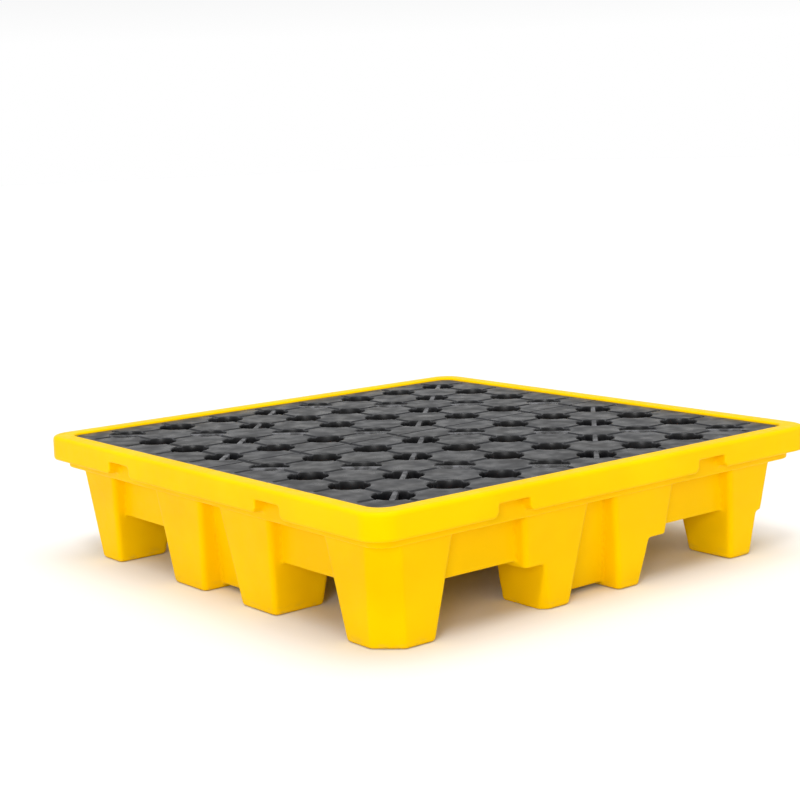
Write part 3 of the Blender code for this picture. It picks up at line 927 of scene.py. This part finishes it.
class Finish:
    """One Principled material, and short ways to add nodes to it."""

    def __init__(self, name, roughness, specular):
        self.material = bpy.data.materials.new(name)
        self.material.use_nodes = True
        self.tree = self.material.node_tree
        self.shader = self.tree.nodes["Principled BSDF"]
        self.shader.inputs["Roughness"].default_value = roughness
        self.shader.inputs["Specular IOR Level"].default_value = specular
        self.place = self.tree.nodes.new("ShaderNodeTexCoord").outputs["Object"]

    def link(self, value, socket):
        if isinstance(value, bpy.types.NodeSocket):
            self.tree.links.new(value, socket)
        else:
            socket.default_value = value

    def noise(self, scale, detail=3.0, stretch=(1.0, 1.0, 1.0), turn=0.0, distortion=0.0):
        mapping = self.tree.nodes.new("ShaderNodeMapping")
        mapping.inputs["Scale"].default_value = stretch
        mapping.inputs["Rotation"].default_value = (0.0, 0.0, turn)
        self.tree.links.new(self.place, mapping.inputs["Vector"])
        node = self.tree.nodes.new("ShaderNodeTexNoise")
        node.inputs["Scale"].default_value = scale
        node.inputs["Detail"].default_value = detail
        node.inputs["Distortion"].default_value = distortion
        self.tree.links.new(mapping.outputs["Vector"], node.inputs["Vector"])
        return node.outputs["Fac"]

    def height(self):
        node = self.tree.nodes.new("ShaderNodeSeparateXYZ")
        self.tree.links.new(self.place, node.inputs[0])
        return node.outputs["Z"]

    def facing_up(self):
        geometry = self.tree.nodes.new("ShaderNodeNewGeometry")
        node = self.tree.nodes.new("ShaderNodeSeparateXYZ")
        self.tree.links.new(geometry.outputs["Normal"], node.inputs[0])
        return node.outputs["Z"]

    def convexity(self):
        return self.tree.nodes.new("ShaderNodeNewGeometry").outputs["Pointiness"]

    def fit(self, value, low, high, to_low=0.0, to_high=1.0):
        node = self.tree.nodes.new("ShaderNodeMapRange")
        node.interpolation_type = "SMOOTHSTEP"
        self.link(value, node.inputs["Value"])
        set_range(node, low, high, to_low, to_high)
        return node.outputs["Result"]

    def multiply(self, first, second):
        return self.calculate("MULTIPLY", first, second)

    def calculate(self, operation, first, second):
        node = self.tree.nodes.new("ShaderNodeMath")
        node.operation = operation
        self.link(first, node.inputs[0])
        self.link(second, node.inputs[1])
        return node.outputs[0]

    def mix(self, factor, first, second):
        node = self.tree.nodes.new("ShaderNodeMix")
        node.data_type = "RGBA"
        self.link(factor, node.inputs["Factor"])
        self.link(first, node.inputs["A"])
        self.link(second, node.inputs["B"])
        return node.outputs["Result"]

    def bump(self, height, depth, below=None):
        node = self.tree.nodes.new("ShaderNodeBump")
        node.inputs["Strength"].default_value = 1.0
        node.inputs["Distance"].default_value = depth
        self.link(height, node.inputs["Height"])
        if below:
            self.tree.links.new(below, node.inputs["Normal"])
        return node.outputs["Normal"]

    def set(self, **values):
        for name, value in values.items():
            self.link(value, self.shader.inputs[name.replace("_", " ")])
        return self.material


def moulded_yellow():
    """Rotationally moulded polyethylene: saturated, satin, faintly wavy, rubbed where it is handled, with
    painted shade in its creases.
    """
    deep, bright = (0.93, 0.550, 0.0, 1.0), (0.97, 0.595, 0.0, 1.0)
    pale_speck, rubbed_pale = (1.0, 0.70, 0.03, 1.0), (1.0, 0.72, 0.06, 1.0)
    crease_shade_orange, dust_brown = (0.78, 0.33, 0.0, 1.0), (0.52, 0.36, 0.08, 1.0)
    finish = Finish("moulded_yellow", 0.42, 0.06)
    finish.set(Specular_Tint=(1.0, 0.80, 0.10, 1.0))
    tone = finish.mix(finish.fit(finish.noise(5.0), 0.35, 0.65), deep, bright)
    speckle = finish.fit(finish.noise(260.0, 2.0), 0.62, 0.78, 0.0, 0.10)
    tone = finish.mix(speckle, tone, pale_speck)
    patches = finish.fit(finish.noise(38.0, 5.0), 0.50, 0.66)
    rubbed = finish.multiply(finish.fit(finish.convexity(), 0.515, 0.56), patches)
    tone = finish.mix(finish.multiply(rubbed, 0.22), tone, rubbed_pale)
    # Painted shade: concave creases are tinted deeper orange, standing in for the shade and interreflection
    # that fall there.
    crease_shade = finish.fit(finish.convexity(), 0.44, 0.492, 0.75, 0.0)
    tone = finish.mix(crease_shade, tone, crease_shade_orange)
    near_floor = finish.fit(finish.height(), 0.002, 0.030, 1.0, 0.0)
    scuffs = finish.fit(finish.noise(30.0, 6.0, stretch=(1.0, 1.0, 3.0)), 0.50, 0.68)
    dust = finish.multiply(finish.multiply(near_floor, scuffs), 0.30)
    tone = finish.mix(dust, tone, dust_brown)
    gloss = finish.fit(finish.noise(55.0, 4.0), 0.30, 0.70, 0.36, 0.50)
    waves = finish.bump(finish.noise(14.0, 1.0), 0.0016)
    peel = finish.bump(finish.noise(170.0, 2.0), 0.00016, waves)
    grain = finish.bump(finish.noise(1100.0, 1.0), 0.00003, peel)
    return finish.set(Base_Color=tone, Roughness=gloss, Normal=grain)


def grating_black():
    """Injection-moulded black plastic: fine grain, hazy wear and painted highlight on its raised edges,
    painted shade on its steep faces, thin scratches.
    """
    dark, light = (0.009, 0.0095, 0.011, 1.0), (0.017, 0.018, 0.021, 1.0)
    steep_shade_black, worn_and_highlight_grey = (0.003, 0.003, 0.0035, 1.0), (0.26, 0.26, 0.28, 1.0)
    scratch_grey, dust_grey = (0.20, 0.20, 0.21, 1.0), (0.20, 0.19, 0.17, 1.0)
    finish = Finish("grating_black", 0.40, 0.36)
    tone = finish.mix(finish.fit(finish.noise(9.0), 0.35, 0.65), dark, light)
    # Painted shade: steep faces such as the hole walls are darkened towards black, whatever the light.
    steep_shade = finish.fit(finish.facing_up(), 0.15, 0.75, 0.80, 0.0)
    tone = finish.mix(steep_shade, tone, steep_shade_black)
    # Raised edges and brace tops are lighter: partly wear, partly painted highlight standing in for glints
    # on the lips.
    raised = finish.fit(finish.convexity(), 0.52, 0.60)
    wear_and_highlight = finish.multiply(raised, finish.fit(finish.noise(45.0, 5.0), 0.42, 0.62))
    tone = finish.mix(finish.multiply(wear_and_highlight, 0.40), tone, worn_and_highlight_grey)
    top = finish.fit(finish.facing_up(), 0.90, 0.99)
    scratches = None
    for turn, scale in ((0.5, 160.0), (-0.9, 200.0), (1.7, 180.0)):
        lines = finish.fit(finish.noise(scale, 2.0, stretch=(0.035, 1.0, 1.0), turn=turn), 0.66, 0.74)
        scratches = finish.calculate("MAXIMUM", scratches, lines) if scratches else lines
    haze = finish.fit(finish.noise(16.0, 6.0, distortion=0.6), 0.48, 0.70)
    marks = finish.multiply(finish.multiply(scratches, haze), top)
    tone = finish.mix(finish.multiply(marks, 0.35), tone, scratch_grey)
    dusty = finish.multiply(finish.multiply(haze, top), 0.10)
    tone = finish.mix(dusty, tone, dust_grey)
    gloss = finish.fit(finish.noise(24.0, 5.0), 0.32, 0.68, 0.27, 0.46)
    gloss = finish.calculate("ADD", gloss, finish.multiply(marks, 0.15))
    waves = finish.bump(finish.noise(22.0, 1.0), 0.0007)
    grain = finish.bump(finish.noise(900.0, 2.0), 0.00004, waves)
    return finish.set(Base_Color=tone, Roughness=gloss, Normal=grain)


def post_grey():
    """Extruded plastic pipe: faint lengthwise drawing lines and dull patches."""
    dark, light = (0.048, 0.050, 0.053, 1.0), (0.066, 0.068, 0.071, 1.0)
    dull_grey = (0.10, 0.10, 0.095, 1.0)
    finish = Finish("post_grey", 0.50, 0.4)
    lines = finish.noise(300.0, 2.0, stretch=(1.0, 1.0, 0.02))
    tone = finish.mix(finish.fit(lines, 0.35, 0.65), dark, light)
    dull = finish.fit(finish.noise(20.0, 5.0), 0.52, 0.72, 0.0, 0.35)
    tone = finish.mix(dull, tone, dull_grey)
    gloss = finish.fit(finish.noise(40.0, 4.0), 0.3, 0.7, 0.40, 0.60)
    return finish.set(Base_Color=tone, Roughness=gloss, Normal=finish.bump(lines, 0.00006))


# ---------------------------------------------------------------- stage
def build_floor():
    floor = bmesh.new()
    bmesh.ops.create_grid(floor, x_segments=1, y_segments=1, size=FLOOR_SIZE)
    paint = Finish("floor_paint", 0.9, 0.0)
    item = link_object("floor", mesh_from("floor", floor), paint.set(Base_Color=(0.82, 0.82, 0.82, 1.0)))
    item.location.z = -FLOOR_DROP


def build_world():
    """A white room that is brightest round the horizon, so that the floor stays pale to its far edge."""
    world = bpy.data.worlds.new("studio")
    world.use_nodes = True
    tree = world.node_tree
    direction = tree.nodes.new("ShaderNodeSeparateXYZ")
    tree.links.new(tree.nodes.new("ShaderNodeTexCoord").outputs["Generated"], direction.inputs[0])
    fade = tree.nodes.new("ShaderNodeMapRange")
    tree.links.new(direction.outputs["Z"], fade.inputs["Value"])
    set_range(fade, *SKY_FADE, 1.0, ZENITH_STRENGTH)
    tree.links.new(fade.outputs["Result"], tree.nodes["Background"].inputs["Strength"])
    tree.nodes["Background"].inputs["Color"].default_value = (1, 1, 1, 1)
    bpy.context.scene.world = world


def direction_from(azimuth, elevation):
    """The direction towards a camera or light; azimuth 0 is at -Y, and a quarter turn less is at -X."""
    level = math.cos(elevation)
    return Vector((math.sin(azimuth) * level, -math.cos(azimuth) * level, math.sin(elevation)))


def add_soft_sun(name, azimuth, elevation, spread, strength):
    """A distant soft light."""
    data = bpy.data.lights.new(name, "SUN")
    data.energy = strength
    data.angle = math.radians(spread)
    item = bpy.data.objects.new(name, data)
    back = direction_from(math.radians(azimuth), math.radians(elevation))
    item.rotation_euler = back.to_track_quat("Z", "Y").to_euler()
    bpy.context.scene.collection.objects.link(item)


def build_camera():
    azimuth, elevation, roll = (math.radians(angle) for angle in CAMERA_ANGLES)
    back = direction_from(azimuth, elevation)
    right = Vector((math.cos(azimuth), math.sin(azimuth), 0.0))
    up = back.cross(right)
    right_rolled = right * math.cos(roll) + up * math.sin(roll)
    up_rolled = up * math.cos(roll) - right * math.sin(roll)
    data = bpy.data.cameras.new("camera")
    data.sensor_width = SENSOR_WIDTH
    data.lens = CAMERA_LENS
    data.clip_end = 100.0
    item = bpy.data.objects.new("camera", data)
    turn = Matrix((right_rolled, up_rolled, back)).transposed().to_4x4()
    item.matrix_world = Matrix.Translation(CAMERA_PLACE) @ turn
    bpy.context.scene.collection.objects.link(item)
    bpy.context.scene.camera = item


build_floor()
build_world()
build_camera()
for name, (azimuth, elevation, spread, strength) in LIGHTS.items():
    add_soft_sun(name, azimuth, elevation, spread, strength)
tub = build_tub(moulded_yellow())
soften(tub)
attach(tub, "tub")
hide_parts("sump_tub")
black = grating_black()
grey = post_grey()
for label, side in (("front", -1), ("rear", 1)):
    panel = build_panel(f"grating_{label}", side, black)
    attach(panel, f"{label}_panel")
    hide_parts(f"grating_panel_{label}")
for number in range(1, 10):
    post = build_post(f"post_{number}", f"support_post_{number}", grey)
    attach(post, "tub")
    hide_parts(f"support_post_{number}")

bpy.context.scene.view_settings.view_transform = "Standard"
